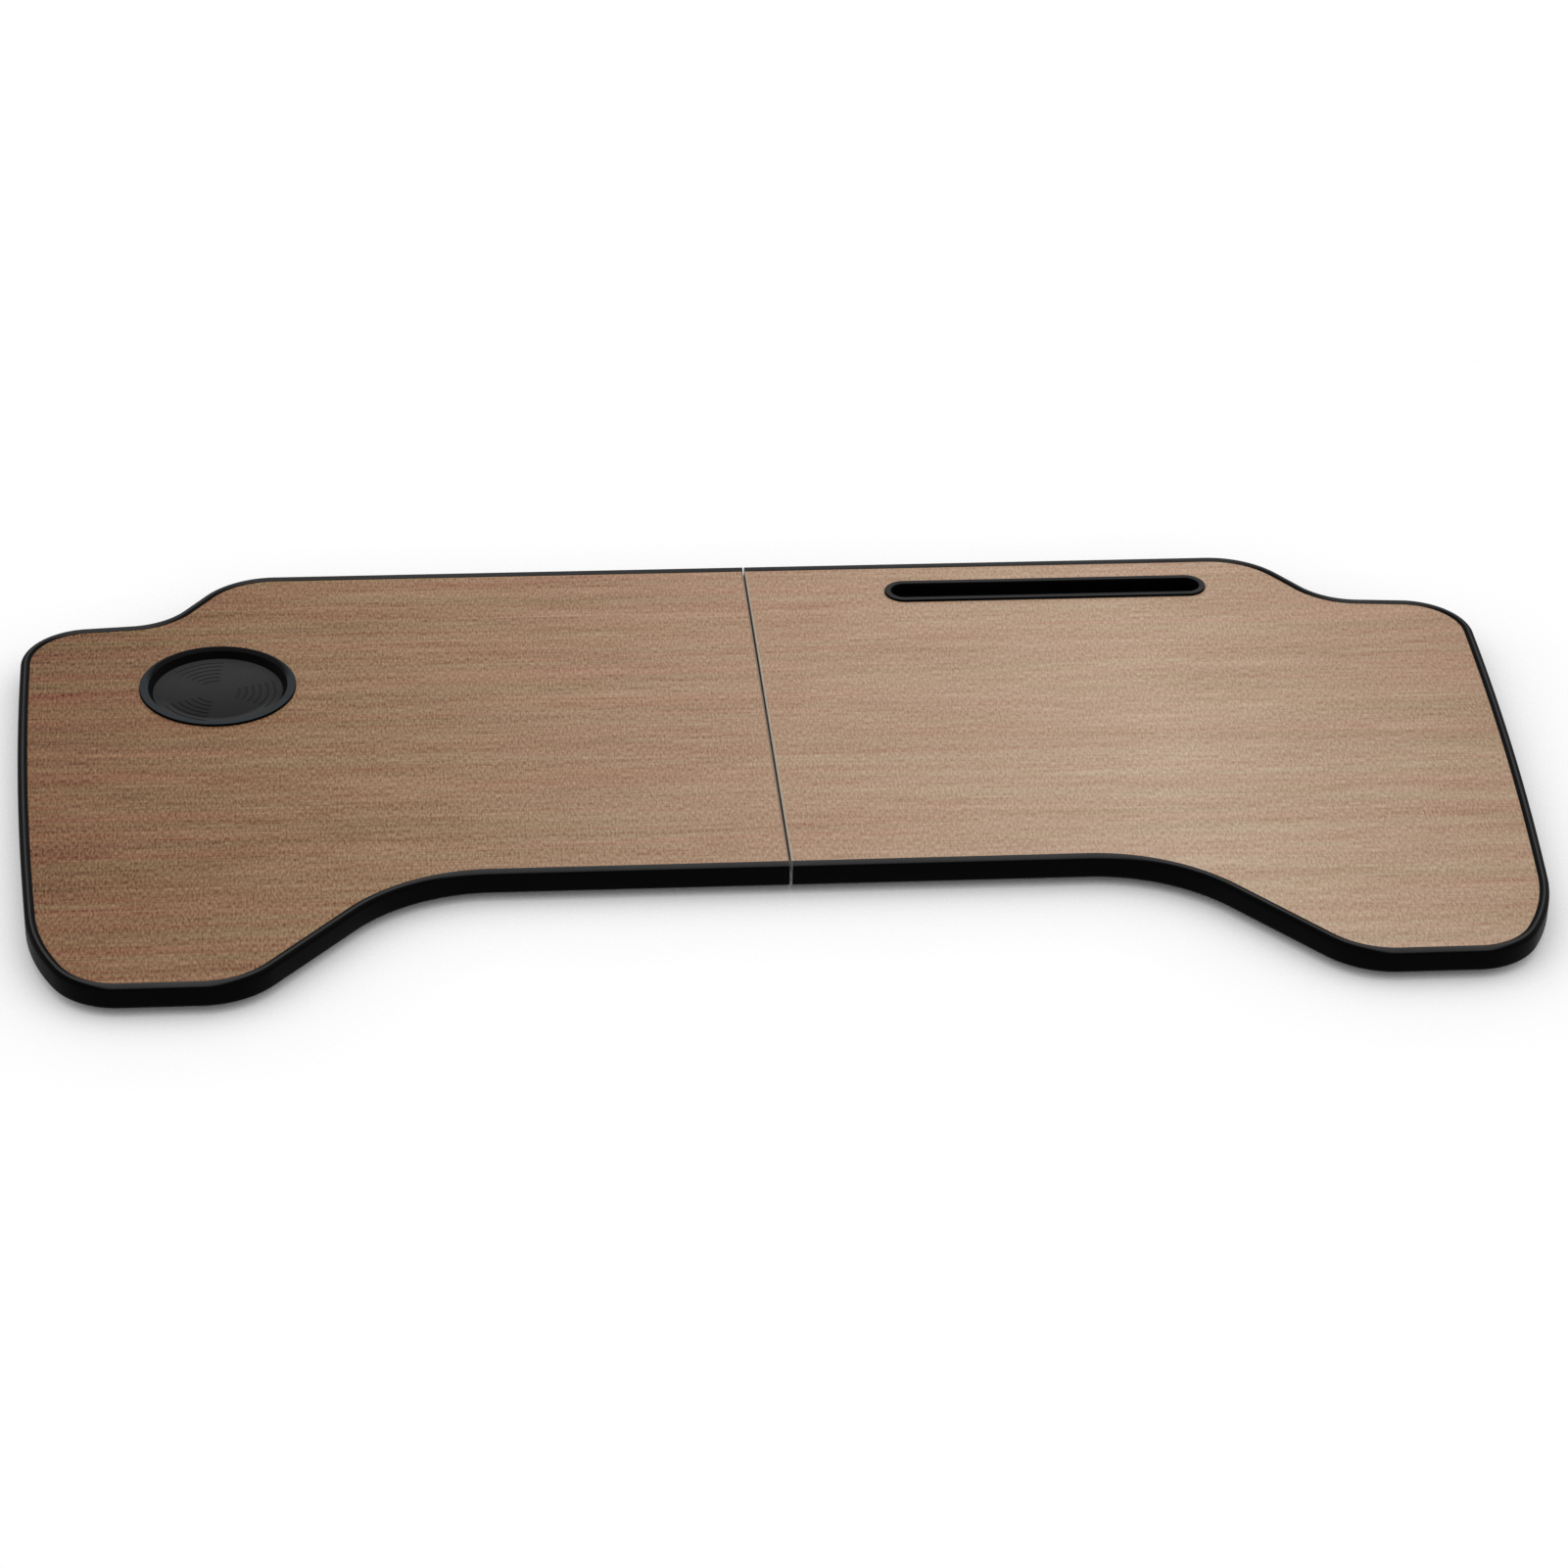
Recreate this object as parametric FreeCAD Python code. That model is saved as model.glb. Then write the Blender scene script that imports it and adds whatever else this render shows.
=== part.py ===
import FreeCAD, Part
import math
import os

from FreeCAD import Vector

# Folding laptop tray: two half boards hinged under a centre seam, with a cup holder pressed into
# the left half and a tablet slot in the right half.
# Millimetres. +X to the right, +Y to the rear, +Z up. The origin is on the supporting surface,
# under the centre of the tray.

# Board stack, from the underside up, and the height that the feet hold it at
foot_height = 6.0
backing_thickness = 0.6
core_thickness = 10.6
laminate_thickness = 0.8

# Outline of the tray, by the corners of one half and the radius that rounds each
shoulder_span = 860.5
overall_depth = 442.0
crown_half_width = 309.0
crown_step_run = 38.5
crown_step_drop = 54.5
shoulder_fall = 6.5
waist_setback_share = 0.53
waist_arc_share = 0.97
waist_inset = 2.6
arm_bend_inset = 17.3
arm_bend_from_tip = 46.2
arm_bend_share = 0.52
arm_corner_inset = 42.4
arm_corner_share = 0.45
arm_tip_width = 90.1
recess_half_width = 209.5
recess_depth = 103.0
crown_radius = 50.0
step_radius = 42.0
shoulder_radius = 39.0
arm_inner_radius = 50.0
recess_radius = 98.0

# Seam between the halves, each closed by a thin edge band
seam_gap = 1.0
band_thickness = 1.0
band_top_bevel = 0.4
band_bottom_chamfer = 0.8

# Edge moulding: a head with two lips over the board and a barbed spine in a milled kerf
head_thickness = 2.2
nose_radius = 2.2
lip_overlap = 2.8
lip_thickness = 0.5
lip_edge_thickness = 0.3
spine_length = 7.5
spine_thickness = 1.6
spine_tip_thickness = 0.8
barb_height = 0.35
barb_count = 3
kerf_clearance = 0.05
kerf_extra_depth = 0.5

# Cup holder in the left half
cup_from_seam = 315.5
cup_from_rear = 129.4
cup_rim_radius = 45.2
cup_rim_width = 5.0
cup_rim_height = 1.5
cup_floor_radius = 37.5
cup_depth = 3.0
cup_floor_thickness = 1.4
cup_wall = 1.5
cup_pocket_radius = 42.6
cup_edge_radius = 0.45
cup_floor_fillet = 2.5
crush_rib_count = 6
crush_rib_thickness = 1.4
crush_rib_clearance = 0.1
ridge_sectors = 3
ridge_count = 6
ridge_sector_angle = 58.0
ridge_first_turn = -8.0
ridge_inner_radius = 12.5
ridge_outer_radius = 33.0
ridge_width = 1.5
ridge_height = 0.35

# Tablet slot liner in the right half
slot_from_seam = 180.4
slot_from_rear = 35.1
slot_length = 186.9
slot_width = 15.8
slot_rim_width = 4.1
slot_rim_height = 1.5
slot_rim_round = 0.6
slot_depth = 7.0
slot_draft = 0.4
slot_wall = 1.3
slot_floor = 1.2
slot_pocket_clearance = 0.2

# Butt hinges on the underside
hinge_length = 60.0
hinge_edge_distance = 30.0
hinge_knuckles = 5
knuckle_gap = 0.3
barrel_radius = 2.5
pin_radius = 1.22
pin_clearance = 0.06
pin_head_radius = 2.1
pin_head_length = 0.8
leaf_thickness = 1.2
leaf_width = 24.0
leaf_corner_radius = 3.0
leaf_notch_clearance = 0.4
hinge_screw_row = 17.5
hinge_screw_stagger = 5.5
hinge_screw_end_margin = 9.0

# Countersunk wood screws for the hinges
hinge_screw_head_radius = 2.7
hinge_screw_shank_radius = 1.3
hinge_screw_length = 9.0

# Rubber feet, each held by one pan-head screw
foot_top_radius = 9.0
foot_bottom_radius = 8.0
foot_edge_radius = 0.8
foot_counterbore_radius = 3.9
foot_seat_height = 2.6
foot_outer_from_seam = 350.0
foot_outer_rear_distance = 92.0
foot_outer_front_distance = 50.0
foot_inner_from_seam = 90.0
foot_inner_from_rear = 150.0
foot_inner_stagger = 40.0
foot_screw_head_radius = 3.3
foot_screw_head_height = 1.8
foot_screw_crown_radius = 2.6
foot_screw_crown_height = 0.6
foot_screw_shank_radius = 1.5
foot_screw_length = 10.5

# Shared by both kinds of screw
screw_tip_length = 2.5
screw_tip_relief = 0.5
screw_hole_clearance = 0.1
driver_recess_width = 0.7
driver_recess_depth = 0.8
driver_reach_share = 0.75

# How far cutting tools run past what they cut, and how close two points are that count as one
cut_overrun = 1.0
coincident = 0.001

# Levels and edges worked out from the sizes above
underside_z = foot_height
backing_top_z = underside_z + backing_thickness
core_top_z = backing_top_z + core_thickness
board_top_z = core_top_z + laminate_thickness
board_mid_z = (underside_z + board_top_z) / 2
rear_y = overall_depth / 2
arm_front_y = -overall_depth / 2
recess_y = arm_front_y + recess_depth
seam_face_x = seam_gap / 2
board_start_x = seam_face_x + band_thickness
hinge_axis_z = underside_z - barrel_radius
kerf_half = spine_thickness / 2 + barb_height + kerf_clearance
kerf_depth = spine_length + kerf_extra_depth


def flat(x, y):
    """A point of a plan outline."""
    return Vector(x, y, 0)


def upright(x, z):
    """A point of a section that stands on the X axis."""
    return Vector(x, 0, z)


def rounded_edges(corners, place, closed=True):
    """Lines and tangent arcs through corners (a, b, radius), each point set by place(a, b)."""
    points = [place(a, b) for a, b, radius in corners]
    radii = [radius for a, b, radius in corners]
    count = len(points)
    stops = []
    for i in range(count):
        here = points[i]
        if radii[i] <= 0 or (not closed and i in (0, count - 1)):
            stops.append((here, None, here))
            continue
        back = (points[i - 1] - here).normalize()
        ahead = (points[(i + 1) % count] - here).normalize()
        half_angle = back.getAngle(ahead) / 2
        reach = radii[i] / math.tan(half_angle)
        bisector = (back + ahead).normalize()
        middle = here + bisector * (radii[i] / math.sin(half_angle) - radii[i])
        stops.append((here + back * reach, middle, here + ahead * reach))
    edges = []
    for i in range(count):
        start, middle, end = stops[i]
        if middle is not None:
            edges.append(Part.Arc(start, middle, end).toShape())
        if i == count - 1 and not closed:
            break
        following = stops[(i + 1) % count][0]
        if (following - end).Length > coincident:
            edges.append(Part.LineSegment(end, following).toShape())
    return edges


def rounded_face(corners, place):
    """A flat face inside a closed run of rounded corners."""
    return Part.Face(Part.Wire(rounded_edges(corners, place)))


def prism(corners, low_z, high_z):
    """A plan outline carried up from low_z to high_z."""
    face = rounded_face(corners, flat)
    face.translate(Vector(0, 0, low_z))
    return face.extrude(Vector(0, 0, high_z - low_z))


def turned(corners, x, y):
    """A section (radius, height, corner radius) turned a full circle about the upright line at x, y."""
    solid = rounded_face(corners, upright).revolve(Vector(0, 0, 0), Vector(0, 0, 1), 360)
    solid.translate(Vector(x, y, 0))
    return solid


def stadium(centre_x, centre_y, length, width):
    """Corners of a slot shape, its length along X, its ends full half circles."""
    left = centre_x - length / 2
    right = centre_x + length / 2
    front = centre_y - width / 2
    rear = centre_y + width / 2
    places = [(left, front), (right, front), (right, rear), (left, rear)]
    return [(x, y, width / 2) for x, y in places]


def mirrored(shape):
    """The same piece on the other side of the seam."""
    return shape.mirror(Vector(0, 0, 0), Vector(1, 0, 0))


def half_corners(seam_x):
    """Outer corners of the right half, from the seam's rear end clockwise to its front end."""
    side_x = shoulder_span / 2
    step_x = crown_half_width + crown_step_run
    step_y = rear_y - crown_step_drop
    shoulder_y = step_y - shoulder_fall
    waist_y = rear_y - waist_setback_share * overall_depth
    bend_y = arm_front_y + arm_bend_from_tip
    waist_run = waist_y - bend_y
    corner_x = side_x - arm_corner_inset
    rear_slope = math.atan2(waist_inset, shoulder_y - waist_y)
    front_slope = math.atan2(arm_bend_inset - waist_inset, waist_run)
    corner_slope = math.atan2(arm_corner_inset - arm_bend_inset, arm_bend_from_tip)
    corner_run = math.hypot(arm_corner_inset - arm_bend_inset, arm_bend_from_tip)
    waist_room = min(shoulder_y - waist_y - shoulder_radius, waist_run - arm_bend_share * corner_run)
    waist_radius = waist_arc_share * waist_room / math.tan((front_slope - rear_slope) / 2)
    bend_radius = arm_bend_share * corner_run / math.tan((corner_slope - front_slope) / 2)
    corner_radius = arm_corner_share * corner_run * math.tan((math.pi / 2 + corner_slope) / 2)
    return [
        (seam_x, rear_y, 0),
        (crown_half_width, rear_y, crown_radius),
        (step_x, step_y, step_radius),
        (side_x, shoulder_y, shoulder_radius),
        (side_x - waist_inset, waist_y, waist_radius),
        (side_x - arm_bend_inset, bend_y, bend_radius),
        (corner_x, arm_front_y, corner_radius),
        (corner_x - arm_tip_width, arm_front_y, arm_inner_radius),
        (recess_half_width, recess_y, recess_radius),
        (seam_x, recess_y, 0),
    ]


def inset_corners(corners, inset):
    """Moves each straight run of an open outline inwards, and its rounded corners with it."""
    runs = []
    for start, end in zip(corners, corners[1:]):
        length = math.hypot(end[0] - start[0], end[1] - start[1])
        along_x = (end[0] - start[0]) / length
        along_y = (end[1] - start[1]) / length
        runs.append((start[0] + along_y * inset, start[1] - along_x * inset, along_x, along_y))
    moved = [(runs[0][0], runs[0][1], 0)]
    for (px, py, ux, uy), (qx, qy, vx, vy), corner in zip(runs, runs[1:], corners[1:]):
        turn = ux * vy - uy * vx
        reach = ((qx - px) * vy - (qy - py) * vx) / turn
        radius = corner[2] - inset if turn < 0 else corner[2] + inset
        moved.append((px + ux * reach, py + uy * reach, radius))
    moved.append((corners[-1][0], corners[-1][1] + inset, 0))
    return moved


def half_slab(inset, seam_x, low_z, high_z):
    """The right half's outline, set in from its outer edge, as a slab that starts at seam_x."""
    return prism(inset_corners(half_corners(seam_x), inset), low_z, high_z)


def kerf_cutter():
    """The milled groove that runs round the board's edge at mid height."""
    low_z = board_mid_z - kerf_half
    high_z = board_mid_z + kerf_half
    outside = half_slab(head_thickness - cut_overrun, 0, low_z, high_z)
    kept = half_slab(head_thickness + kerf_depth, -cut_overrun, low_z - cut_overrun, high_z + cut_overrun)
    return outside.cut(kept)


def hinge_centres():
    """Y of the middle of the front and the rear hinge."""
    front_y = recess_y + hinge_edge_distance + hinge_length / 2
    back_y = rear_y - hinge_edge_distance - hinge_length / 2
    return {"front_hinge": front_y, "rear_hinge": back_y}


def hinge_screw_points(centre_y):
    """Three screws in a leaf, the middle one set nearer to the pin."""
    reach = hinge_length / 2 - hinge_screw_end_margin
    near_row = hinge_screw_row - hinge_screw_stagger
    return [(hinge_screw_row, centre_y - reach), (near_row, centre_y), (hinge_screw_row, centre_y + reach)]


def foot_points(inner_shift):
    """Centres of the three feet of a half; inner_shift staggers the one by the seam."""
    return [
        (foot_outer_from_seam, rear_y - foot_outer_rear_distance),
        (foot_outer_from_seam, arm_front_y + foot_outer_front_distance),
        (foot_inner_from_seam, rear_y - foot_inner_from_rear - inner_shift),
    ]


def screw(profile_head, shank_radius, length, point, head_z):
    """A screw that points up: its turned head, then shank and point, with a cross recess."""
    corners = [(0, head_z, 0)]
    corners += [(radius, head_z + height, 0) for radius, height in profile_head]
    corners += [(shank_radius, head_z + length - screw_tip_length, 0), (0, head_z + length, 0)]
    body = turned(corners, point[0], point[1])
    reach = profile_head[0][0] * driver_reach_share
    for along_x, along_y in ((reach, driver_recess_width / 2), (driver_recess_width / 2, reach)):
        slot = Part.makeBox(2 * along_x, 2 * along_y, driver_recess_depth + cut_overrun)
        slot.translate(Vector(point[0] - along_x, point[1] - along_y, head_z - cut_overrun))
        body = body.cut(slot)
    return body


def hinge_screw_set():
    """The countersunk screws of both leaves on the right half."""
    head_z = underside_z - leaf_thickness
    head = [
        (hinge_screw_head_radius, 0),
        (hinge_screw_head_radius - leaf_thickness, leaf_thickness),
        (hinge_screw_shank_radius, leaf_thickness),
    ]
    points = []
    for centre_y in hinge_centres().values():
        points += hinge_screw_points(centre_y)
    return [screw(head, hinge_screw_shank_radius, hinge_screw_length, point, head_z) for point in points]


def foot_screw_set(inner_shift):
    """The pan-head screws that hold the feet of the right half."""
    head_z = foot_seat_height - foot_screw_head_height
    head = [
        (foot_screw_crown_radius, 0),
        (foot_screw_head_radius, foot_screw_crown_height),
        (foot_screw_head_radius, foot_screw_head_height),
        (foot_screw_shank_radius, foot_screw_head_height),
    ]
    points = foot_points(inner_shift)
    return [screw(head, foot_screw_shank_radius, foot_screw_length, point, head_z) for point in points]


def screw_holes(inner_shift):
    """Pilot holes for every screw of the right half, up through backing and core."""
    holes = []
    hinge_top = underside_z - leaf_thickness + hinge_screw_length
    for centre_y in hinge_centres().values():
        for x, y in hinge_screw_points(centre_y):
            holes.append((x, y, hinge_screw_shank_radius, hinge_top))
    foot_top = foot_seat_height - foot_screw_head_height + foot_screw_length
    for x, y in foot_points(inner_shift):
        holes.append((x, y, foot_screw_shank_radius, foot_top))
    start_z = underside_z - cut_overrun
    tools = []
    for x, y, radius, top_z in holes:
        depth = top_z + screw_tip_relief - start_z
        tools.append(Part.makeCylinder(radius + screw_hole_clearance, depth, Vector(x, y, start_z)))
    return tools


def rubber_feet(inner_shift):
    """Turned rubber feet with a counterbore that sinks the screw head."""
    bore = foot_screw_shank_radius + screw_hole_clearance
    section = [
        (bore, foot_seat_height, 0),
        (foot_counterbore_radius, foot_seat_height, 0),
        (foot_counterbore_radius, 0, 0),
        (foot_bottom_radius, 0, foot_edge_radius),
        (foot_top_radius, foot_height, 0),
        (bore, foot_height, 0),
    ]
    return [turned(section, x, y) for x, y in foot_points(inner_shift)]


def edge_moulding():
    """The moulding's section swept round the half from the seam's rear end to its front end."""
    half_board = (board_top_z - underside_z) / 2
    lip_top = half_board + lip_thickness
    lip_end = head_thickness + lip_overlap
    upper = [
        (0, lip_top, nose_radius),
        (nose_radius, lip_top, 0),
        (lip_end, half_board + lip_edge_thickness, 0),
        (lip_end, half_board, 0),
        (head_thickness, half_board, 0),
    ]
    half_spine = spine_thickness / 2
    upper.append((head_thickness, half_spine, 0))
    barb_pitch = (spine_length - spine_thickness) / barb_count
    for i in range(barb_count):
        back_u = head_thickness + spine_thickness / 2 + i * barb_pitch
        upper.append((back_u, half_spine, 0))
        upper.append((back_u, half_spine + barb_height, 0))
    upper.append((head_thickness + spine_length - spine_thickness / 2, half_spine, 0))
    upper.append((head_thickness + spine_length, spine_tip_thickness / 2, 0))
    lower = [(u, -v, radius) for u, v, radius in reversed(upper)]

    def across(u, v):
        return Vector(seam_face_x, rear_y - u, board_mid_z + v)

    section = Part.Wire(rounded_edges(upper + lower, across))
    path = Part.Wire(rounded_edges(half_corners(seam_face_x), flat, closed=False))
    path.translate(Vector(0, 0, board_mid_z))
    sweep = Part.BRepOffsetAPI.MakePipeShell(path)
    sweep.setBiNormalMode(Vector(0, 0, 1))
    sweep.add(section, False, False)
    sweep.build()
    sweep.makeSolid()
    return sweep.shape()


def seam_band():
    """The strip glued on the mating face, bevelled at its top and chamfered past the hinge barrel."""
    section = [
        (seam_face_x, underside_z + band_bottom_chamfer, 0),
        (seam_face_x, board_top_z - band_top_bevel, 0),
        (seam_face_x + band_top_bevel, board_top_z, 0),
        (board_start_x, board_top_z, 0),
        (board_start_x, underside_z, 0),
        (seam_face_x + band_bottom_chamfer, underside_z, 0),
    ]
    face = rounded_face(section, upright)
    front_y = recess_y + head_thickness
    face.translate(Vector(0, front_y, 0))
    strip = face.extrude(Vector(0, rear_y - head_thickness - front_y, 0))
    return strip.cut(kerf_cutter())


def crush_ribs(mouth_radius, floor_z):
    """Upright fins round the cup's wall that reach the side of its pocket."""
    reach = cup_pocket_radius - crush_rib_clearance
    under_z = floor_z - cup_floor_thickness
    section = [
        (cup_floor_radius + cup_wall / 2, under_z, 0),
        (cup_floor_radius + cup_wall, under_z, 0),
        (reach, floor_z, 0),
        (reach, board_top_z, 0),
        (mouth_radius + cup_wall / 2, board_top_z, 0),
    ]
    ribs = []
    for i in range(crush_rib_count):
        face = rounded_face(section, upright)
        face.translate(Vector(0, -crush_rib_thickness / 2, 0))
        rib = face.extrude(Vector(0, crush_rib_thickness, 0))
        rib.rotate(Vector(0, 0, 0), Vector(0, 0, 1), i * 360 / crush_rib_count)
        ribs.append(rib)
    return ribs


def cup_holder():
    """Turned cup with a proud rim, crush ribs that grip the pocket, and ridges on its floor."""
    centre_y = rear_y - cup_from_rear
    floor_z = board_top_z - cup_depth
    rim_top_z = board_top_z + cup_rim_height
    mouth_radius = cup_rim_radius - cup_rim_width
    section = [
        (0, floor_z - cup_floor_thickness, 0),
        (cup_floor_radius + cup_wall, floor_z - cup_floor_thickness, cup_floor_fillet),
        (mouth_radius + cup_wall, board_top_z, 0),
        (cup_rim_radius, board_top_z, 0),
        (cup_rim_radius, rim_top_z, cup_edge_radius),
        (mouth_radius, rim_top_z, cup_edge_radius),
        (cup_floor_radius, floor_z, cup_floor_fillet),
        (0, floor_z, 0),
    ]
    cup = turned(section, 0, 0)
    pitch = (ridge_outer_radius - ridge_inner_radius) / (ridge_count - 1)
    ridges = []
    for sector in range(ridge_sectors):
        start_angle = ridge_first_turn + sector * 360 / ridge_sectors - ridge_sector_angle / 2
        for i in range(ridge_count):
            middle = ridge_inner_radius + i * pitch
            ridge_section = [
                (middle - ridge_width / 2, floor_z - cup_floor_thickness / 2, 0),
                (middle - ridge_width / 2, floor_z, 0),
                (middle, floor_z + ridge_height, 0),
                (middle + ridge_width / 2, floor_z, 0),
                (middle + ridge_width / 2, floor_z - cup_floor_thickness / 2, 0),
            ]
            face = rounded_face(ridge_section, upright)
            face.rotate(Vector(0, 0, 0), Vector(0, 0, 1), start_angle)
            ridges.append(face.revolve(Vector(0, 0, 0), Vector(0, 0, 1), ridge_sector_angle))
    cup = cup.fuse(ridges + crush_ribs(mouth_radius, floor_z)).removeSplitter()
    cup.translate(Vector(-cup_from_seam, centre_y, 0))
    return cup


def cup_pocket(low_z, high_z):
    """The round hole that the cup drops into, on the right-hand side, as the halves are cut there."""
    centre = Vector(cup_from_seam, rear_y - cup_from_rear, low_z)
    return Part.makeCylinder(cup_pocket_radius, high_z - low_z, centre)


def slot_liner():
    """A long trough with a proud rounded rim, for the edge of a tablet."""
    centre_y = rear_y - slot_from_rear
    rim_top_z = board_top_z + slot_rim_height
    floor_z = board_top_z - slot_depth
    tub_z = floor_z - slot_floor
    rim = prism(
        stadium(slot_from_seam, centre_y, slot_length + 2 * slot_rim_width, slot_width + 2 * slot_rim_width),
        board_top_z,
        rim_top_z,
    )
    top_edges = [e for e in rim.Edges if e.BoundBox.ZMin > rim_top_z - coincident]
    rim = rim.makeFillet(slot_rim_round, top_edges)
    tub = prism(
        stadium(slot_from_seam, centre_y, slot_length + 2 * slot_wall, slot_width + 2 * slot_wall),
        tub_z,
        board_top_z,
    )
    levels = ((floor_z, slot_draft), (rim_top_z, 0))
    wires = []
    for level_z, narrower in levels:
        corners = stadium(slot_from_seam, centre_y, slot_length - 2 * narrower, slot_width - 2 * narrower)
        wire = Part.Wire(rounded_edges(corners, flat))
        wire.translate(Vector(0, 0, level_z))
        wires.append(wire)
    cavity = Part.makeLoft(wires, True, True)
    liner = rim.fuse(tub).cut(cavity).removeSplitter()
    mouth_reach = slot_width / 2 + coincident
    mouth_edges = []
    for edge in liner.Edges:
        box = edge.BoundBox
        in_mouth = box.YMax < centre_y + mouth_reach and box.YMin > centre_y - mouth_reach
        if in_mouth and box.ZMin > rim_top_z - coincident:
            mouth_edges.append(edge)
    return liner.makeFillet(slot_rim_round, mouth_edges)


def slot_pocket(low_z, high_z):
    """The milled pocket that the liner's tub drops into."""
    margin = 2 * (slot_wall + slot_pocket_clearance)
    centre_y = rear_y - slot_from_rear
    return prism(stadium(slot_from_seam, centre_y, slot_length + margin, slot_width + margin), low_z, high_z)


def knuckle_span(centre_y, index):
    """Y where a knuckle starts and ends, with half the gap to its neighbours taken off."""
    pitch = hinge_length / hinge_knuckles
    start = centre_y - hinge_length / 2 + index * pitch
    return start + knuckle_gap / 2, start + pitch - knuckle_gap / 2


def hinge_leaf(centre_y, first_knuckle):
    """A right-hand leaf: a plate under the board whose own knuckles curl round the pin."""
    plate_x = barrel_radius + leaf_notch_clearance
    front_y = centre_y - hinge_length / 2
    back_y = centre_y + hinge_length / 2
    plate = prism(
        [
            (plate_x, front_y, 0),
            (leaf_width, front_y, leaf_corner_radius),
            (leaf_width, back_y, leaf_corner_radius),
            (plate_x, back_y, 0),
        ],
        underside_z - leaf_thickness,
        underside_z,
    )
    shelf_z = underside_z - leaf_thickness
    meet_x = math.sqrt(barrel_radius**2 - (shelf_z - hinge_axis_z) ** 2)
    for index in range(first_knuckle, hinge_knuckles, 2):
        start_y, end_y = knuckle_span(centre_y, index)
        curl = Part.Wire(
            [
                Part.LineSegment(upright(0, underside_z), upright(plate_x, underside_z)).toShape(),
                Part.LineSegment(upright(plate_x, underside_z), upright(plate_x, shelf_z)).toShape(),
                Part.LineSegment(upright(plate_x, shelf_z), upright(meet_x, shelf_z)).toShape(),
                Part.Arc(
                    upright(meet_x, shelf_z),
                    upright(-barrel_radius, hinge_axis_z),
                    upright(0, underside_z),
                ).toShape(),
            ]
        )
        knuckle = Part.Face(curl).extrude(Vector(0, end_y - start_y, 0))
        knuckle.translate(Vector(0, start_y, 0))
        plate = plate.fuse(knuckle)
    bore_start = Vector(0, front_y - cut_overrun, hinge_axis_z)
    bore_length = hinge_length + 2 * cut_overrun
    plate = plate.cut(Part.makeCylinder(pin_radius + pin_clearance, bore_length, bore_start, Vector(0, 1, 0)))
    sink_radius = hinge_screw_head_radius + screw_hole_clearance
    for x, y in hinge_screw_points(centre_y):
        sink = Part.makeCone(sink_radius, sink_radius - leaf_thickness, leaf_thickness, Vector(x, y, shelf_z))
        plate = plate.cut(sink)
    return plate.removeSplitter()


def hinge_pin(centre_y):
    """The pin with its two upset heads just outside the end knuckles."""
    span = hinge_length / 2 - knuckle_gap / 2 + pin_clearance
    section = [
        (0, -span - pin_head_length, 0),
        (pin_head_radius, -span - pin_head_length, pin_head_length / 2),
        (pin_head_radius, -span, 0),
        (pin_radius, -span, 0),
        (pin_radius, span, 0),
        (pin_head_radius, span, 0),
        (pin_head_radius, span + pin_head_length, pin_head_length / 2),
        (0, span + pin_head_length, 0),
    ]
    pin = turned(section, 0, 0)
    pin.rotate(Vector(0, 0, 0), Vector(1, 0, 0), -90)
    pin.translate(Vector(0, centre_y, hinge_axis_z))
    return pin


def core_panel(inner_shift, pocket):
    """The fibreboard core with its kerf, screw holes and the pocket for what drops into it."""
    core = half_slab(head_thickness, board_start_x, backing_top_z, core_top_z)
    return core.cut([kerf_cutter(), pocket] + screw_holes(inner_shift))


def top_laminate(opening):
    """The wood-grain sheet, with its opening."""
    return half_slab(head_thickness, board_start_x, core_top_z, board_top_z).cut(opening)


def backing_sheet(inner_shift):
    """The plain balancing sheet on the underside, drilled for the screws."""
    sheet = half_slab(head_thickness, board_start_x, underside_z, backing_top_z)
    return sheet.cut(screw_holes(inner_shift))


left_shift = 0.0
right_shift = foot_inner_stagger
cup_tub_z = board_top_z - cup_depth - cup_floor_thickness
slot_tub_z = board_top_z - slot_depth - slot_floor
above_z = board_top_z + cut_overrun

pieces = {
    "left_core_panel": mirrored(core_panel(left_shift, cup_pocket(cup_tub_z, above_z))),
    "right_core_panel": core_panel(right_shift, slot_pocket(slot_tub_z, above_z)),
    "left_top_laminate": mirrored(top_laminate(cup_pocket(cup_tub_z, above_z))),
    "right_top_laminate": top_laminate(slot_pocket(slot_tub_z, above_z)),
    "left_backing_sheet": mirrored(backing_sheet(left_shift)),
    "right_backing_sheet": backing_sheet(right_shift),
    "left_edge_moulding": mirrored(edge_moulding()),
    "right_edge_moulding": edge_moulding(),
    "left_seam_band": mirrored(seam_band()),
    "right_seam_band": seam_band(),
    "cup_holder": cup_holder(),
    "tablet_slot_liner": slot_liner(),
    "left_rubber_feet": mirrored(Part.makeCompound(rubber_feet(left_shift))),
    "right_rubber_feet": Part.makeCompound(rubber_feet(right_shift)),
    "left_foot_screws": mirrored(Part.makeCompound(foot_screw_set(left_shift))),
    "right_foot_screws": Part.makeCompound(foot_screw_set(right_shift)),
    "left_hinge_screws": mirrored(Part.makeCompound(hinge_screw_set())),
    "right_hinge_screws": Part.makeCompound(hinge_screw_set()),
}
for hinge_name, hinge_y in hinge_centres().items():
    pieces[hinge_name + "_left_leaf"] = mirrored(hinge_leaf(hinge_y, 0))
    pieces[hinge_name + "_right_leaf"] = hinge_leaf(hinge_y, 1)
    pieces[hinge_name + "_pin"] = hinge_pin(hinge_y)

os.makedirs("parts", exist_ok=True)
for name, shape in pieces.items():
    shape.exportStep("parts/" + name + ".step")
    print(name, len(shape.Solids), shape.isValid(), round(shape.Volume, 1))
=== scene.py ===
import math

import bmesh
import bpy
import numpy as np
from mathutils import Matrix, Vector


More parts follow.
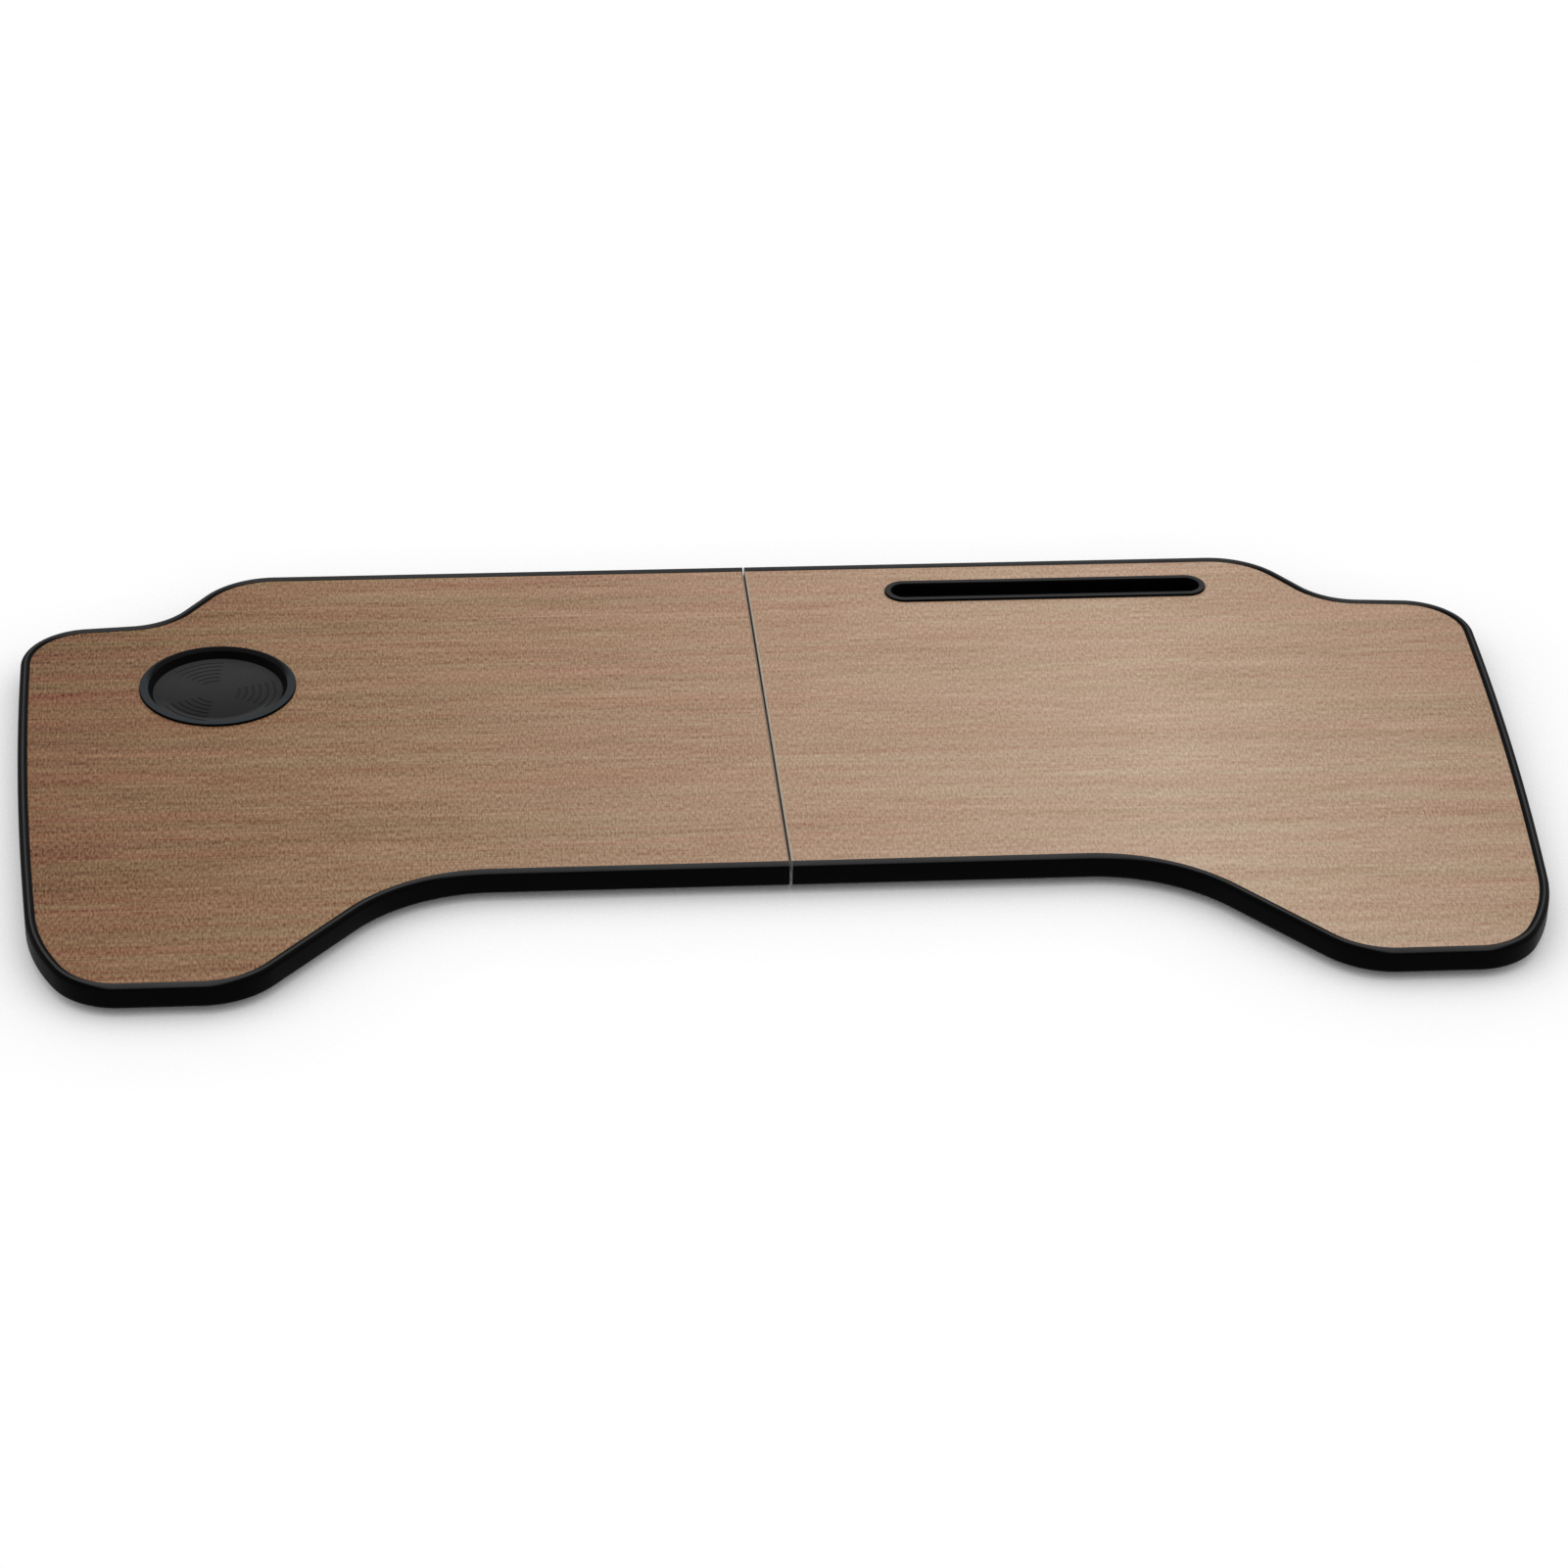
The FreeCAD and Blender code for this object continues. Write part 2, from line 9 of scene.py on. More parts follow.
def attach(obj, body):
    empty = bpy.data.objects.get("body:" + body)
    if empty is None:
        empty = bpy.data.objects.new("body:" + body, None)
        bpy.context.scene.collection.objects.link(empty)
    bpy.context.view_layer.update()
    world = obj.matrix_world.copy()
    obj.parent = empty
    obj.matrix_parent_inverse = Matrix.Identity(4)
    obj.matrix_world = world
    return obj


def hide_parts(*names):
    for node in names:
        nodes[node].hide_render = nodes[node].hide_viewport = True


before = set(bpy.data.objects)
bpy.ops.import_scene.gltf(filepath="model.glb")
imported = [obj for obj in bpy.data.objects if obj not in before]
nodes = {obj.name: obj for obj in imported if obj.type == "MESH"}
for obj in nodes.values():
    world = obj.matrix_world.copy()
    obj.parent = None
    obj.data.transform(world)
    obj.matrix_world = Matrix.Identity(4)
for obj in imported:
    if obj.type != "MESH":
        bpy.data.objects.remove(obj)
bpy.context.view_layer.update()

# Camera
# It stands in front of the tray, a little to the left of the seam, and looks down on it with a long
# lens, from the place and with the tilt that the photograph's perspective gives.
eye = Vector((-0.2341, -2.4083, 1.4743))
heading = math.radians(5.706)
pitch = math.radians(31.371)
tilt = math.radians(-1.554)
focal_length_mm = 113.9
film_width_mm = 36.0

forward = Vector((
    math.sin(heading) * math.cos(pitch), math.cos(heading) * math.cos(pitch), -math.sin(pitch)))
level_right = Vector((math.cos(heading), -math.sin(heading), 0))
level_down = forward.cross(level_right)
picture_right = level_right * math.cos(tilt) + level_down * math.sin(tilt)
picture_down = level_down * math.cos(tilt) - level_right * math.sin(tilt)
turn = Matrix((picture_right, -picture_down, -forward)).transposed().to_4x4()

lens = bpy.data.cameras.new("camera")
lens.lens = focal_length_mm
lens.sensor_width = film_width_mm
camera = bpy.data.objects.new("camera", lens)
camera.matrix_world = Matrix.Translation(eye) @ turn
bpy.context.scene.collection.objects.link(camera)
bpy.context.scene.camera = camera
bpy.context.scene.view_settings.view_transform = "Standard"


# Floor and light
# The tray lies on a white studio table under an even white sky, with one large soft lamp high up
# behind it to the right. The table is drawn only where the tray shades it, and only for a camera
# above it, so that it hides neither the underside nor the half that folds down through it.
class Value:
    """A node's output. Arithmetic between it and numbers or other outputs adds Math nodes."""

    def __init__(self, shading, socket):
        self.shading = shading
        self.socket = socket

    def math(self, operation, first, second=0.0):
        """A Math node. An operation on one number leaves the second unused."""
        return self.shading.node("ShaderNodeMath", {"operation": operation}, {0: first, 1: second})

    def __abs__(self):
        return self.math("ABSOLUTE", self)

    def __add__(self, other):
        return self.math("ADD", self, other)

    def __sub__(self, other):
        return self.math("SUBTRACT", self, other)

    def __rsub__(self, other):
        return self.math("SUBTRACT", other, self)

    def __mul__(self, other):
        return self.math("MULTIPLY", self, other)

    __radd__ = __add__
    __rmul__ = __mul__


class Shading:
    """The nodes of one material or sky. What is steady over the surface is set on its shader at once."""

    def __init__(self, tree, shader, steady):
        self.tree = tree
        self.shader = tree.nodes[shader]
        for socket, value in steady.items():
            self.shader.inputs[socket].default_value = value

    def node(self, kind, settings, sockets, output=0):
        """Adds a node: its settings first, with a ramp's stops, then its sockets' values or links."""
        node = self.tree.nodes.new(kind)
        for name, value in settings.items():
            if name == "stops":
                while len(node.color_ramp.elements) < len(value):
                    node.color_ramp.elements.new(1.0)
                for element, (position, colour) in zip(node.color_ramp.elements, value):
                    element.position = position
                    element.color = (*colour, 1.0)
            else:
                setattr(node, name, value)
        for socket, value in sockets.items():
            if isinstance(value, Value):
                self.tree.links.new(value.socket, node.inputs[socket])
            else:
                node.inputs[socket].default_value = value
        return Value(self, node.outputs[output])

    def feed(self, socket, value):
        """Links what varies over the surface to the shader."""
        self.tree.links.new(value.socket, self.shader.inputs[socket])


def is_ray(shading, kind):
    """1 for rays of one kind, such as Camera, and 0 for the others."""
    return shading.node("ShaderNodeLightPath", {}, {}, f"Is {kind} Ray")


def material(name, steady):
    """A new material, its Principled shader's steady sockets set, and its nodes."""
    made = bpy.data.materials.new(name)
    made.use_nodes = True
    return made, Shading(made.node_tree, "Principled BSDF", steady)


sky_light = 0.74
lamp_strength = 0.98
lamp_spread = math.radians(75)
lamp_direction = Vector((0.45, 0.50, 1.0))
table_reach = 30.0
shade_reach = 0.07

# The sky is white to the camera, in a mirror and through glass, and gives light at its own strength.
world = bpy.data.worlds.new("white_studio")
world.use_nodes = True
bpy.context.scene.world = world
sky = Shading(world.node_tree, "Background", {"Color": (1.0, 1.0, 1.0, 1.0)})
seen = is_ray(sky, "Camera") + is_ray(sky, "Glossy") + is_ray(sky, "Transmission")
sky.feed("Strength", seen.math("MINIMUM", seen, 1.0) * (1.0 - sky_light) + sky_light)

lamp_data = bpy.data.lights.new("soft_lamp", "SUN")
lamp_data.energy = lamp_strength
lamp_data.angle = lamp_spread
lamp = bpy.data.objects.new("soft_lamp", lamp_data)
lamp.rotation_euler = lamp_direction.to_track_quat("Z", "Y").to_euler()
bpy.context.scene.collection.objects.link(lamp)

# The table is black and as solid as the share of the sky that the tray keeps from it nearby.
table_corners = [(x * table_reach, y * table_reach, 0) for x, y in ((-1, -1), (1, -1), (1, 1), (-1, 1))]
table_mesh = bpy.data.meshes.new("table")
table_mesh.from_pydata(table_corners, [], [(0, 1, 2, 3)])
table = bpy.data.objects.new("table", table_mesh)
bpy.context.scene.collection.objects.link(table)
table_shade, shading = material("table_shade", {
    "Base Color": (0.0, 0.0, 0.0, 1.0), "Roughness": 1.0, "Specular IOR Level": 0.0})
open_sky = shading.node("ShaderNodeAmbientOcclusion", {"samples": 4}, {"Distance": shade_reach}, "AO")
from_above = 1.0 - shading.node("ShaderNodeNewGeometry", {}, {}, "Backfacing")
shading.feed("Alpha", is_ray(shading, "Camera") * from_above * (1.0 - open_sky))
table_mesh.materials.append(table_shade)


# Top laminates
# A 0.8 mm high-pressure laminate is glued to each half's core. It is printed with one straight wood
# grain that runs across the whole tray, and its face has a satin, finely textured press finish.
def object_place(shading):
    """Where a point of the surface lies, in the object's own coordinates."""
    return shading.node("ShaderNodeTexCoord", {}, {}, "Object")


def axis(vector, number):
    """One component of a vector: 0 for X, 1 for Y and 2 for Z."""
    return vector.shading.node("ShaderNodeSeparateXYZ", {}, {0: vector}, number)


def noise(shading, scale, detail, rough, warp=0.0):
    """Smooth noise about 0, from roughly -0.5 to 0.5, its features 1 / scale metres long on each axis."""
    repeats = shading.node(
        "ShaderNodeVectorMath", {"operation": "MULTIPLY"}, {0: object_place(shading), 1: scale})
    sockets = {
        "Vector": repeats, "Scale": 1.0, "Detail": detail, "Roughness": rough, "Distortion": warp}
    return shading.node("ShaderNodeTexNoise", {}, sockets) - 0.5


def step(value, low, high):
    """0 below low, 1 above high, and a smooth rise between them."""
    settings = {"interpolation_type": "SMOOTHSTEP", "clamp": True}
    sockets = {"Value": value, "From Min": low, "From Max": high}
    return value.shading.node("ShaderNodeMapRange", settings, sockets)


def ramp(value, stops):
    """The colour that the stops (position, colour) give at value."""
    return value.shading.node("ShaderNodeValToRGB", {"stops": stops}, {0: value})


def level_ramp(value, stops):
    """The number that the stops (position, number) give at value, as a grey."""
    return ramp(value, [(position, (number, number, number)) for position, number in stops])


def shading_of(*values):
    """The nodes that the first output among some values and constants belongs to."""
    return next(value for value in values if isinstance(value, Value)).shading


def blend(amount, first, second, how="MIX"):
    """Two colours brought together by a Mix node."""
    settings = {"data_type": "RGBA", "blend_type": how}
    sockets = {0: amount, 6: first, 7: second}
    return shading_of(amount, first, second).node("ShaderNodeMix", settings, sockets, 2)


def scaled(colour, factor):
    """A colour, or a change of red, green and blue, times a number. Either one may be a constant."""
    sockets = {0: colour, "Scale": factor}
    return shading_of(colour, factor).node("ShaderNodeVectorMath", {"operation": "SCALE"}, sockets)


def total(*colours):
    """Colours added up."""
    whole = colours[0]
    for colour in colours[1:]:
        whole = whole.shading.node("ShaderNodeVectorMath", {"operation": "ADD"}, {0: whole, 1: colour})
    return whole


def relief(height, depth):
    """A Bump node's normal for a height of 0 to 1 that stands for depth in metres."""
    sockets = {"Strength": 1.0, "Distance": depth, "Height": height}
    return height.shading.node("ShaderNodeBump", {}, sockets)


def dress(made, *names):
    """Puts a material on CAD nodes."""
    for name in names:
        nodes[name].data.materials.clear()
        nodes[name].data.materials.append(made)


# The width and the depth are those of the outline's corners, before their arcs cut them back.
tray_width = 0.8605
tray_depth = 0.442
# Across X the tone is partly the laminate's own and partly painted sheen, brightest right of the seam.
far_left_tone = (0.184, 0.091, 0.041)
cup_tone = (0.260, 0.159, 0.084)
seam_tone = (0.398, 0.267, 0.180)
sheen_peak_tone = (0.478, 0.352, 0.252)
far_right_tone = (0.364, 0.243, 0.158)
front_tint = (0.980, 0.962, 0.950)
middle_tint = (0.970, 0.948, 0.931)
rear_tint = (0.956, 0.899, 0.869)
lighter = (0.76, 1.08, 1.30)
greener = (-0.05, 0.05, 0.01)
bluer = (0.0, 0.0, 0.09)

wood, shading = material("wood_grain_laminate", {"Specular IOR Level": 0.12})
across = axis(object_place(shading), 0) * (1 / tray_width) + 0.5
along = axis(object_place(shading), 1) * (1 / tray_depth) + 0.5
# The tone ramp across X carries the painted sheen.
tone = ramp(across, [
    (0.0, far_left_tone), (0.20, cup_tone), (0.52, seam_tone), (0.76, sheen_peak_tone),
    (1.0, far_right_tone)])
tint = ramp(along, [(0.1, front_tint), (0.5, middle_tint), (0.9, rear_tint)])
tone = blend(1.0, tone, tint, "MULTIPLY")

# The parts of the grain. All but the fleck of the press are long along X and thin along Y.
bands = noise(shading, (1.2, 19.0, 1.0), detail=2.0, rough=0.5, warp=0.2)
figure = noise(shading, (6.0, 95.0, 1.0), detail=3.0, rough=0.6, warp=0.2)
streaks = noise(shading, (15.0, 370.0, 1.0), detail=3.0, rough=0.65)
pale_lines = step(noise(shading, (3.0, 190.0, 3.0), detail=2.0, rough=0.6, warp=0.2), 0.13, 0.27)
threads = noise(shading, (40.0, 1100.0, 1.0), detail=2.0, rough=0.6)
fleck = noise(shading, (850.0, 260.0, 1.0), detail=2.0, rough=0.55)
pores = step(noise(shading, (90.0, 1500.0, 1.0), detail=2.0, rough=0.6), 0.12, 0.26)
fine_lines = step(noise(shading, (9.0, 340.0, 3.0), detail=2.0, rough=0.6, warp=0.1), 0.04, 0.20)
green_patches = noise(shading, (3.5, 85.0, 2.0), detail=3.0, rough=0.6, warp=0.2)
blue_patches = noise(shading, (5.0, 130.0, 5.0), detail=3.0, rough=0.6, warp=0.2)
grain = (
    bands * 0.35 + figure * 0.8 + streaks * 0.8 + threads * 0.8 + fleck * 2.4 - pores * 0.05
    + pale_lines * 0.10 + fine_lines * 0.16 - 0.04)
green = green_patches * 3.0 + pale_lines * 0.25 + fine_lines * 0.35 - 0.10

# Both contrasts are strongest at the dark left end.
contrast = level_ramp(across, [(0.0, 1.35), (0.35, 0.76), (0.7, 0.56), (1.0, 0.66)])
hue_contrast = level_ramp(across, [(0.0, 3.2), (0.3, 1.5), (0.62, 0.88), (1.0, 1.2)])
change = total(
    scaled(lighter, grain * contrast),
    scaled(greener, green * hue_contrast),
    scaled(bluer, blue_patches * hue_contrast))
shading.feed("Base Color", total(tone, blend(1.0, tone, change, "MULTIPLY")))
shading.feed("Roughness", fleck * 0.12 + threads * 0.08 + 0.5)
shading.feed("Normal", relief(threads * 0.5 + fleck * 0.5 - pores * 0.4, depth=0.00005))
dress(wood, "left_top_laminate", "right_top_laminate")

# Seam bands
# A 1 mm strip of warm grey edge band is glued to the face of each half that meets the other. It is
# trimmed flush, with its top edge bevelled, so it shows as a light line beside the dark gap. The left
# one is painted darker and browner than the right, as painted shade.
seam_face_x = 0.0005
inside_gap_x = 0.8 * seam_face_x

band, shading = material("seam_band_plastic", {"Specular IOR Level": 0.1})
mottle = noise(shading, (900.0, 300.0, 900.0), detail=3.0, rough=0.6)
on_right_half = step(axis(object_place(shading), 0), -inside_gap_x, inside_gap_x)
# Painted shade: the left band's colour is darker and browner than the right band's own colour.
shaded_band = ramp(mottle + 0.5, [(0.3, (0.19, 0.135, 0.10)), (0.7, (0.25, 0.18, 0.14))])
band_colour = ramp(mottle + 0.5, [(0.3, (0.34, 0.30, 0.24)), (0.7, (0.42, 0.38, 0.31))])
shading.feed("Base Color", blend(on_right_half, shaded_band, band_colour))
shading.feed("Roughness", mottle * 0.2 + 0.5)
shading.feed("Normal", relief(mottle, depth=0.00004))
dress(band, "left_seam_band", "right_seam_band")

# Cores and backing sheets
# The core is 10.6 mm medium-density fibreboard, milled for the moulding, the cup and the slot. A
# black phenolic sheet glued under it keeps the board flat, and it has a fine matt press texture.
fibreboard, shading = material("fibreboard", {"Roughness": 0.85, "Specular IOR Level": 0.2})
fibres = noise(shading, (900.0, 900.0, 2600.0), detail=4.0, rough=0.7, warp=0.5)
layers = noise(shading, (6.0, 6.0, 700.0), detail=2.0, rough=0.5)
shading.feed("Base Color", ramp(fibres * 1.2 + layers * 0.4 + 0.5, [
    (0.2, (0.20, 0.12, 0.06)), (0.5, (0.34, 0.22, 0.12)), (0.8, (0.46, 0.32, 0.19))]))
shading.feed("Normal", relief(fibres, depth=0.0002))
dress(fibreboard, "left_core_panel", "right_core_panel")

backing, shading = material("backing_sheet_black", {"Specular IOR Level": 0.35})
pressed = noise(shading, (1300.0, 1300.0, 400.0), detail=3.0, rough=0.6)
clouds = noise(shading, (14.0, 9.0, 9.0), detail=3.0, rough=0.6)
shading.feed("Base Color", ramp(pressed * 0.8 + clouds * 0.5 + 0.5, [
    (0.2, (0.010, 0.010, 0.011)), (0.8, (0.026, 0.025, 0.025))]))
shading.feed("Roughness", pressed * 0.2 + clouds * 0.15 + 0.55)
shading.feed("Normal", relief(pressed, depth=0.00008))
dress(backing, "left_backing_sheet", "right_backing_sheet")


# Edge mouldings
# A black extruded T-moulding runs round each half and is cut off at the seam. Its rounded head
# covers the board's edge, two thin lips lap over its faces, and a barbed spine is driven into a kerf.
def rounded(corners, arc_steps, closed=False):
    """Points along straight runs joined by tangent arcs, and at each the unit vector to the right.

    A corner is x, y and the arc's radius. Where two runs meet at the half angle h, the centre of an
    arc of radius r lies r / sin h from the corner along the bisector, the arc starts r / tan h before
    the corner, and it turns by pi - 2 h.
    """
    places = np.array([corner[:2] for corner in corners], float)
    count = len(corners)
    points, rights = [], []
    for index, here in enumerate(places):
        before, after = places[index - 1], places[(index + 1) % count]
        back = before - here if closed or index > 0 else here - after
        ahead = after - here if closed or index < count - 1 else here - before
        back /= np.linalg.norm(back)
        ahead /= np.linalg.norm(ahead)
        radius = corners[index][2]
        if radius <= 0:
            points.append(here[None])
            rights.append(np.array([[-back[1], back[0]]]))
            continue
        half = math.acos(max(-1.0, min(1.0, back @ ahead))) / 2
        centre = here + (back + ahead) / np.linalg.norm(back + ahead) * radius / math.sin(half)
        start = here + back * radius / math.tan(half) - centre
        side = math.copysign(1.0, ahead[0] * back[1] - ahead[1] * back[0])
        turned_by = np.linspace(0, side * (math.pi - 2 * half), arc_steps)
        angles = math.atan2(start[1], start[0]) + turned_by
        spokes = np.stack([np.cos(angles), np.sin(angles)], axis=1)
        points.append(centre + radius * spokes)
        rights.append(side * spokes)
    return np.concatenate(points), np.concatenate(rights)


def skin(name, points, body, made, loop, caps=False):
    """A mesh over a grid of points (rows, columns): quads join neighbours, columns close into a loop,
    rows do if loop is true, caps close the first and last row, and points in one place are merged."""
    merge_distance = 1e-7
    crease = math.radians(35)
    rows, columns = points.shape[:2]
    row = np.arange(rows if loop else rows - 1)[:, None]
    column = np.arange(columns)[None, :]
    next_row, next_column = (row + 1) % rows, (column + 1) % columns
    corners = [
        row * columns + column, row * columns + next_column,
        next_row * columns + next_column, next_row * columns + column]
    faces = np.stack(corners, axis=-1).reshape(-1, 4).tolist()
    if caps:
        faces += [list(range(columns)), list(range((rows - 1) * columns, rows * columns))]
    mesh = bpy.data.meshes.new(name)
    mesh.from_pydata(points.reshape(-1, 3).tolist(), [], faces)
    shape = bmesh.new()
    shape.from_mesh(mesh)
    bmesh.ops.remove_doubles(shape, verts=shape.verts, dist=merge_distance)
    bmesh.ops.recalc_face_normals(shape, faces=shape.faces)
    shape.to_mesh(mesh)
    shape.free()
    mesh.polygons.foreach_set("use_smooth", [True] * len(mesh.polygons))
    mesh.set_sharp_from_angle(angle=crease)
    mesh.materials.append(made)
    piece = bpy.data.objects.new(name, mesh)
    bpy.context.scene.collection.objects.link(piece)
    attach(piece, body)
    return piece


underside_z = 0.006
board_top_z = 0.018
board_mid_z = (underside_z + board_top_z) / 2
half_board = (board_top_z - underside_z) / 2
head_depth = 0.0022
head_outside = -0.0006
nose_radius = 0.0026
lip_length = 0.0028
lip_rise = 0.0008
lip_edge_rise = 0.0003
lip_edge_radius = 0.00012
lip_slope_start = 0.0008
lip_slope_radius = 0.0012
lower_drop = 0.0003
spine_length = 0.0075
half_spine = 0.0008
barbs = 3
barb_height = 0.00035
lip_end = head_depth + lip_length
lip_top = half_board + lip_rise
spine_end = head_depth + spine_length
barb_pitch = (spine_length - 2 * half_spine) / barbs

# The right half's corners, from the rear end of the seam round to its front end, each with the radius
# of its arc. The largest radius is the slight bend of the tray's side.
waist_y = -0.118
half_outline = [
    (seam_face_x, tray_depth / 2, 0),
    (0.309, tray_depth / 2, 0.050),
    (0.3475, 0.1665, 0.042),
    (tray_width / 2, 0.160, 0.039),
    (0.42765, -0.01326, 3.456),
    (0.41295, -0.1748, 0.1306),
    (0.38785, -tray_depth / 2, 0.0401),
    (0.29775, -tray_depth / 2, 0.050),
    (0.2095, waist_y, 0.098),
    (seam_face_x, waist_y, 0),
]

# The moulding's section: how far inside the outline and how high above the board's middle each corner
# lies, and the radius of its arc. The lower half mirrors the upper, with its lip a little lower.
upper_half = [
    (head_outside, lip_top, nose_radius),
    (head_depth + lip_slope_start, lip_top, lip_slope_radius),
    (lip_end, half_board + lip_edge_rise, lip_edge_radius),
    (lip_end, half_board, 0),
    (head_depth, half_board, 0),
    (head_depth, half_spine, 0),
]
for barb in range(barbs):
    barb_start = head_depth + half_spine + barb * barb_pitch
    upper_half += [(barb_start, half_spine, 0), (barb_start, half_spine + barb_height, 0)]
upper_half += [(spine_end - half_spine, half_spine, 0), (spine_end, half_spine / 2, 0)]
lower_half = [
    (inside, -above - (lower_drop if above > half_board else 0), radius)
    for inside, above, radius in reversed(upper_half)]
section, _ = rounded(upper_half + lower_half, arc_steps=10, closed=True)

# The upper lip is painted grey as a painted highlight where it doesn't lean to the left or the right,
# and the ends at the seam are painted light grey as a painted highlight. The rest is black.
lip_low_z = board_top_z - 0.0004
lip_high_z = board_top_z + 0.00042
flat_lean = 0.05
round_lean = 0.22
sawn_x = 0.00052
uncut_x = 0.0007

moulding, shading = material("black_edge_moulding", {"Specular IOR Level": 0.02})
height = axis(object_place(shading), 2)
lean = abs(axis(shading.node("ShaderNodeNewGeometry", {}, {}, "Normal"), 0))
seam_distance = abs(axis(object_place(shading), 0))
on_lip = step(height, lip_low_z, lip_high_z) * (1.0 - step(lean, flat_lean, round_lean))
# Painted highlight: the moulding's cut ends at the seam.
at_cut_end = 1.0 - step(seam_distance, sawn_x, uncut_x)
skin_grain = noise(shading, (1500.0, 1500.0, 1500.0), detail=3.0, rough=0.6)
draw_lines = noise(shading, (60.0, 60.0, 2500.0), detail=2.0, rough=0.5)
blotches = noise(shading, (26.0, 26.0, 26.0), detail=4.0, rough=0.65)
black = ramp(skin_grain + 0.5, [(0.3, (0.0004, 0.0004, 0.0005)), (0.7, (0.0014, 0.0014, 0.0015))])
# Painted highlight on the upper lip, mottled; the rest of the moulding is black.
lip_highlight = ramp(skin_grain * 0.7 + blotches * 0.6 + 0.5, [
    (0.25, (0.026, 0.026, 0.0265)), (0.75, (0.046, 0.046, 0.047))])
seam_end_highlight = ramp(draw_lines + 0.5, [(0.3, (0.30, 0.30, 0.29)), (0.7, (0.48, 0.47, 0.45))])
shading.feed("Base Color", blend(at_cut_end, blend(on_lip, black, lip_highlight), seam_end_highlight))
shading.feed("Roughness", skin_grain * 0.2 + blotches * 0.2 + 0.5)
shading.feed("Normal", relief(skin_grain * 0.7 + draw_lines * 0.5, depth=0.00005))

# A point of the moulding lies at the outline's point plus the section's first measure times the unit
# vector inwards, and at the board's middle height plus the second. The left half is the mirror image.
path, inward = rounded(half_outline, arc_steps=40)
plan = path[:, None] + inward[:, None] * section[None, :, :1]
level = np.broadcast_to(board_mid_z + section[None, :, 1:], plan.shape[:2] + (1,))
for half, side in (("left", -1), ("right", 1)):
    grid = np.concatenate([plan * (side, 1), level], axis=2)
    piece = skin(half + "_moulding_run", grid, half + "_half", moulding, False, caps=True)
    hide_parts(half + "_edge_moulding")


# Cup holder
# One round dish, injection-moulded in black, drops into its pocket up to a proud rim, and crush ribs
# on its hidden wall hold it there. Three groups of arc ridges on the floor keep a cup from sliding.
def turned(section, centre, steps, half_run=0.0):
    """A section (radius, height) carried round: at the angle a, a point lies at radius (cos a, sin a)
    from the centre. Each half circle is moved half_run outwards along X, and straight runs join them.
    Gives the angles back too."""
    angles = np.linspace(0, 2 * math.pi, steps, endpoint=False) + math.pi / steps
    spokes = np.stack([np.cos(angles), np.sin(angles)], axis=1)
    shift = np.stack([np.sign(spokes[:, 0]) * half_run, np.zeros(steps)], axis=1)
    plan = spokes[:, None] * section[None, :, :1] + shift[:, None] + np.array(centre)
    level = np.broadcast_to(section[None, :, 1:], plan.shape[:2] + (1,))
    return np.concatenate([plan, level], axis=2), angles


rim_rise = 0.0015
cup_centre = (-0.3155, 0.0916)
cup_rim_radius = 0.0452
cup_mouth_radius = 0.0402
cup_floor_radius = 0.0375
cup_depth = 0.0030
cup_wall = 0.0015
cup_floor_wall = 0.0014
cup_rim_fall = 0.0005
cup_edge_round = 0.00045
cup_floor_round = 0.0012
cup_rim_top = board_top_z + rim_rise
cup_floor_z = board_top_z - cup_depth
cup_under_z = cup_floor_z - cup_floor_wall
flat_floor_radius = 0.036
ring_gap = 0.0001
floor_rings = 180
level_tolerance = 1e-9
ridge_middles = np.linspace(0.0125, 0.033, 6)
ridge_half_width = 0.00085
ridge_height = 0.00038
ridge_run_out = 0.0015
sector_half_angle = math.radians(29)
sector_middles = np.radians([-8, 112, 232])

cup_section, _ = rounded([
    (0, cup_under_z, 0),
    (cup_floor_radius + cup_wall, cup_under_z, cup_floor_round),
    (cup_mouth_radius + cup_wall, board_top_z, 0),
    (cup_rim_radius, board_top_z, 0),
    (cup_rim_radius, cup_rim_top, cup_edge_round),
    (cup_mouth_radius, cup_rim_top - cup_rim_fall, cup_edge_round),
    (cup_floor_radius, cup_floor_z, cup_floor_round),
    (flat_floor_radius, cup_floor_z, 0),
], arc_steps=8)
floor_radii = np.linspace(flat_floor_radius - ring_gap, 0.0, floor_rings)
floor_section = np.stack([floor_radii, np.full(floor_rings, cup_floor_z)], axis=1)
cup_section = np.concatenate([cup_section, floor_section])
cup_grid, angles = turned(cup_section, cup_centre, steps=240)

# At the distance d from a ridge's middle the floor rises by (1 + cos(pi d / half width)) / 2 of the
# ridge's height. Along its last 1.5 mm the ridge fades as 3 f^2 - 2 f^3, with f the share still to go.
radii, heights = cup_section[None, :, 0], cup_section[None, :, 1]
from_middles = (angles[:, None] - sector_middles[None] + math.pi) % (2 * math.pi) - math.pi
away = np.abs(from_middles).min(axis=1)[:, None]
near_ridge = np.abs(radii[..., None] - ridge_middles).min(axis=2)
crest = 0.5 + 0.5 * np.cos(math.pi * np.clip(near_ridge / ridge_half_width, 0, 1))
fade = np.clip((sector_half_angle - away) * radii / ridge_run_out, 0, 1)
on_floor = (np.abs(heights - cup_floor_z) < level_tolerance) & (radii < cup_floor_radius - cup_floor_round)
cup_grid[..., 2] += ridge_height * crest * fade * fade * (3 - 2 * fade) * on_floor


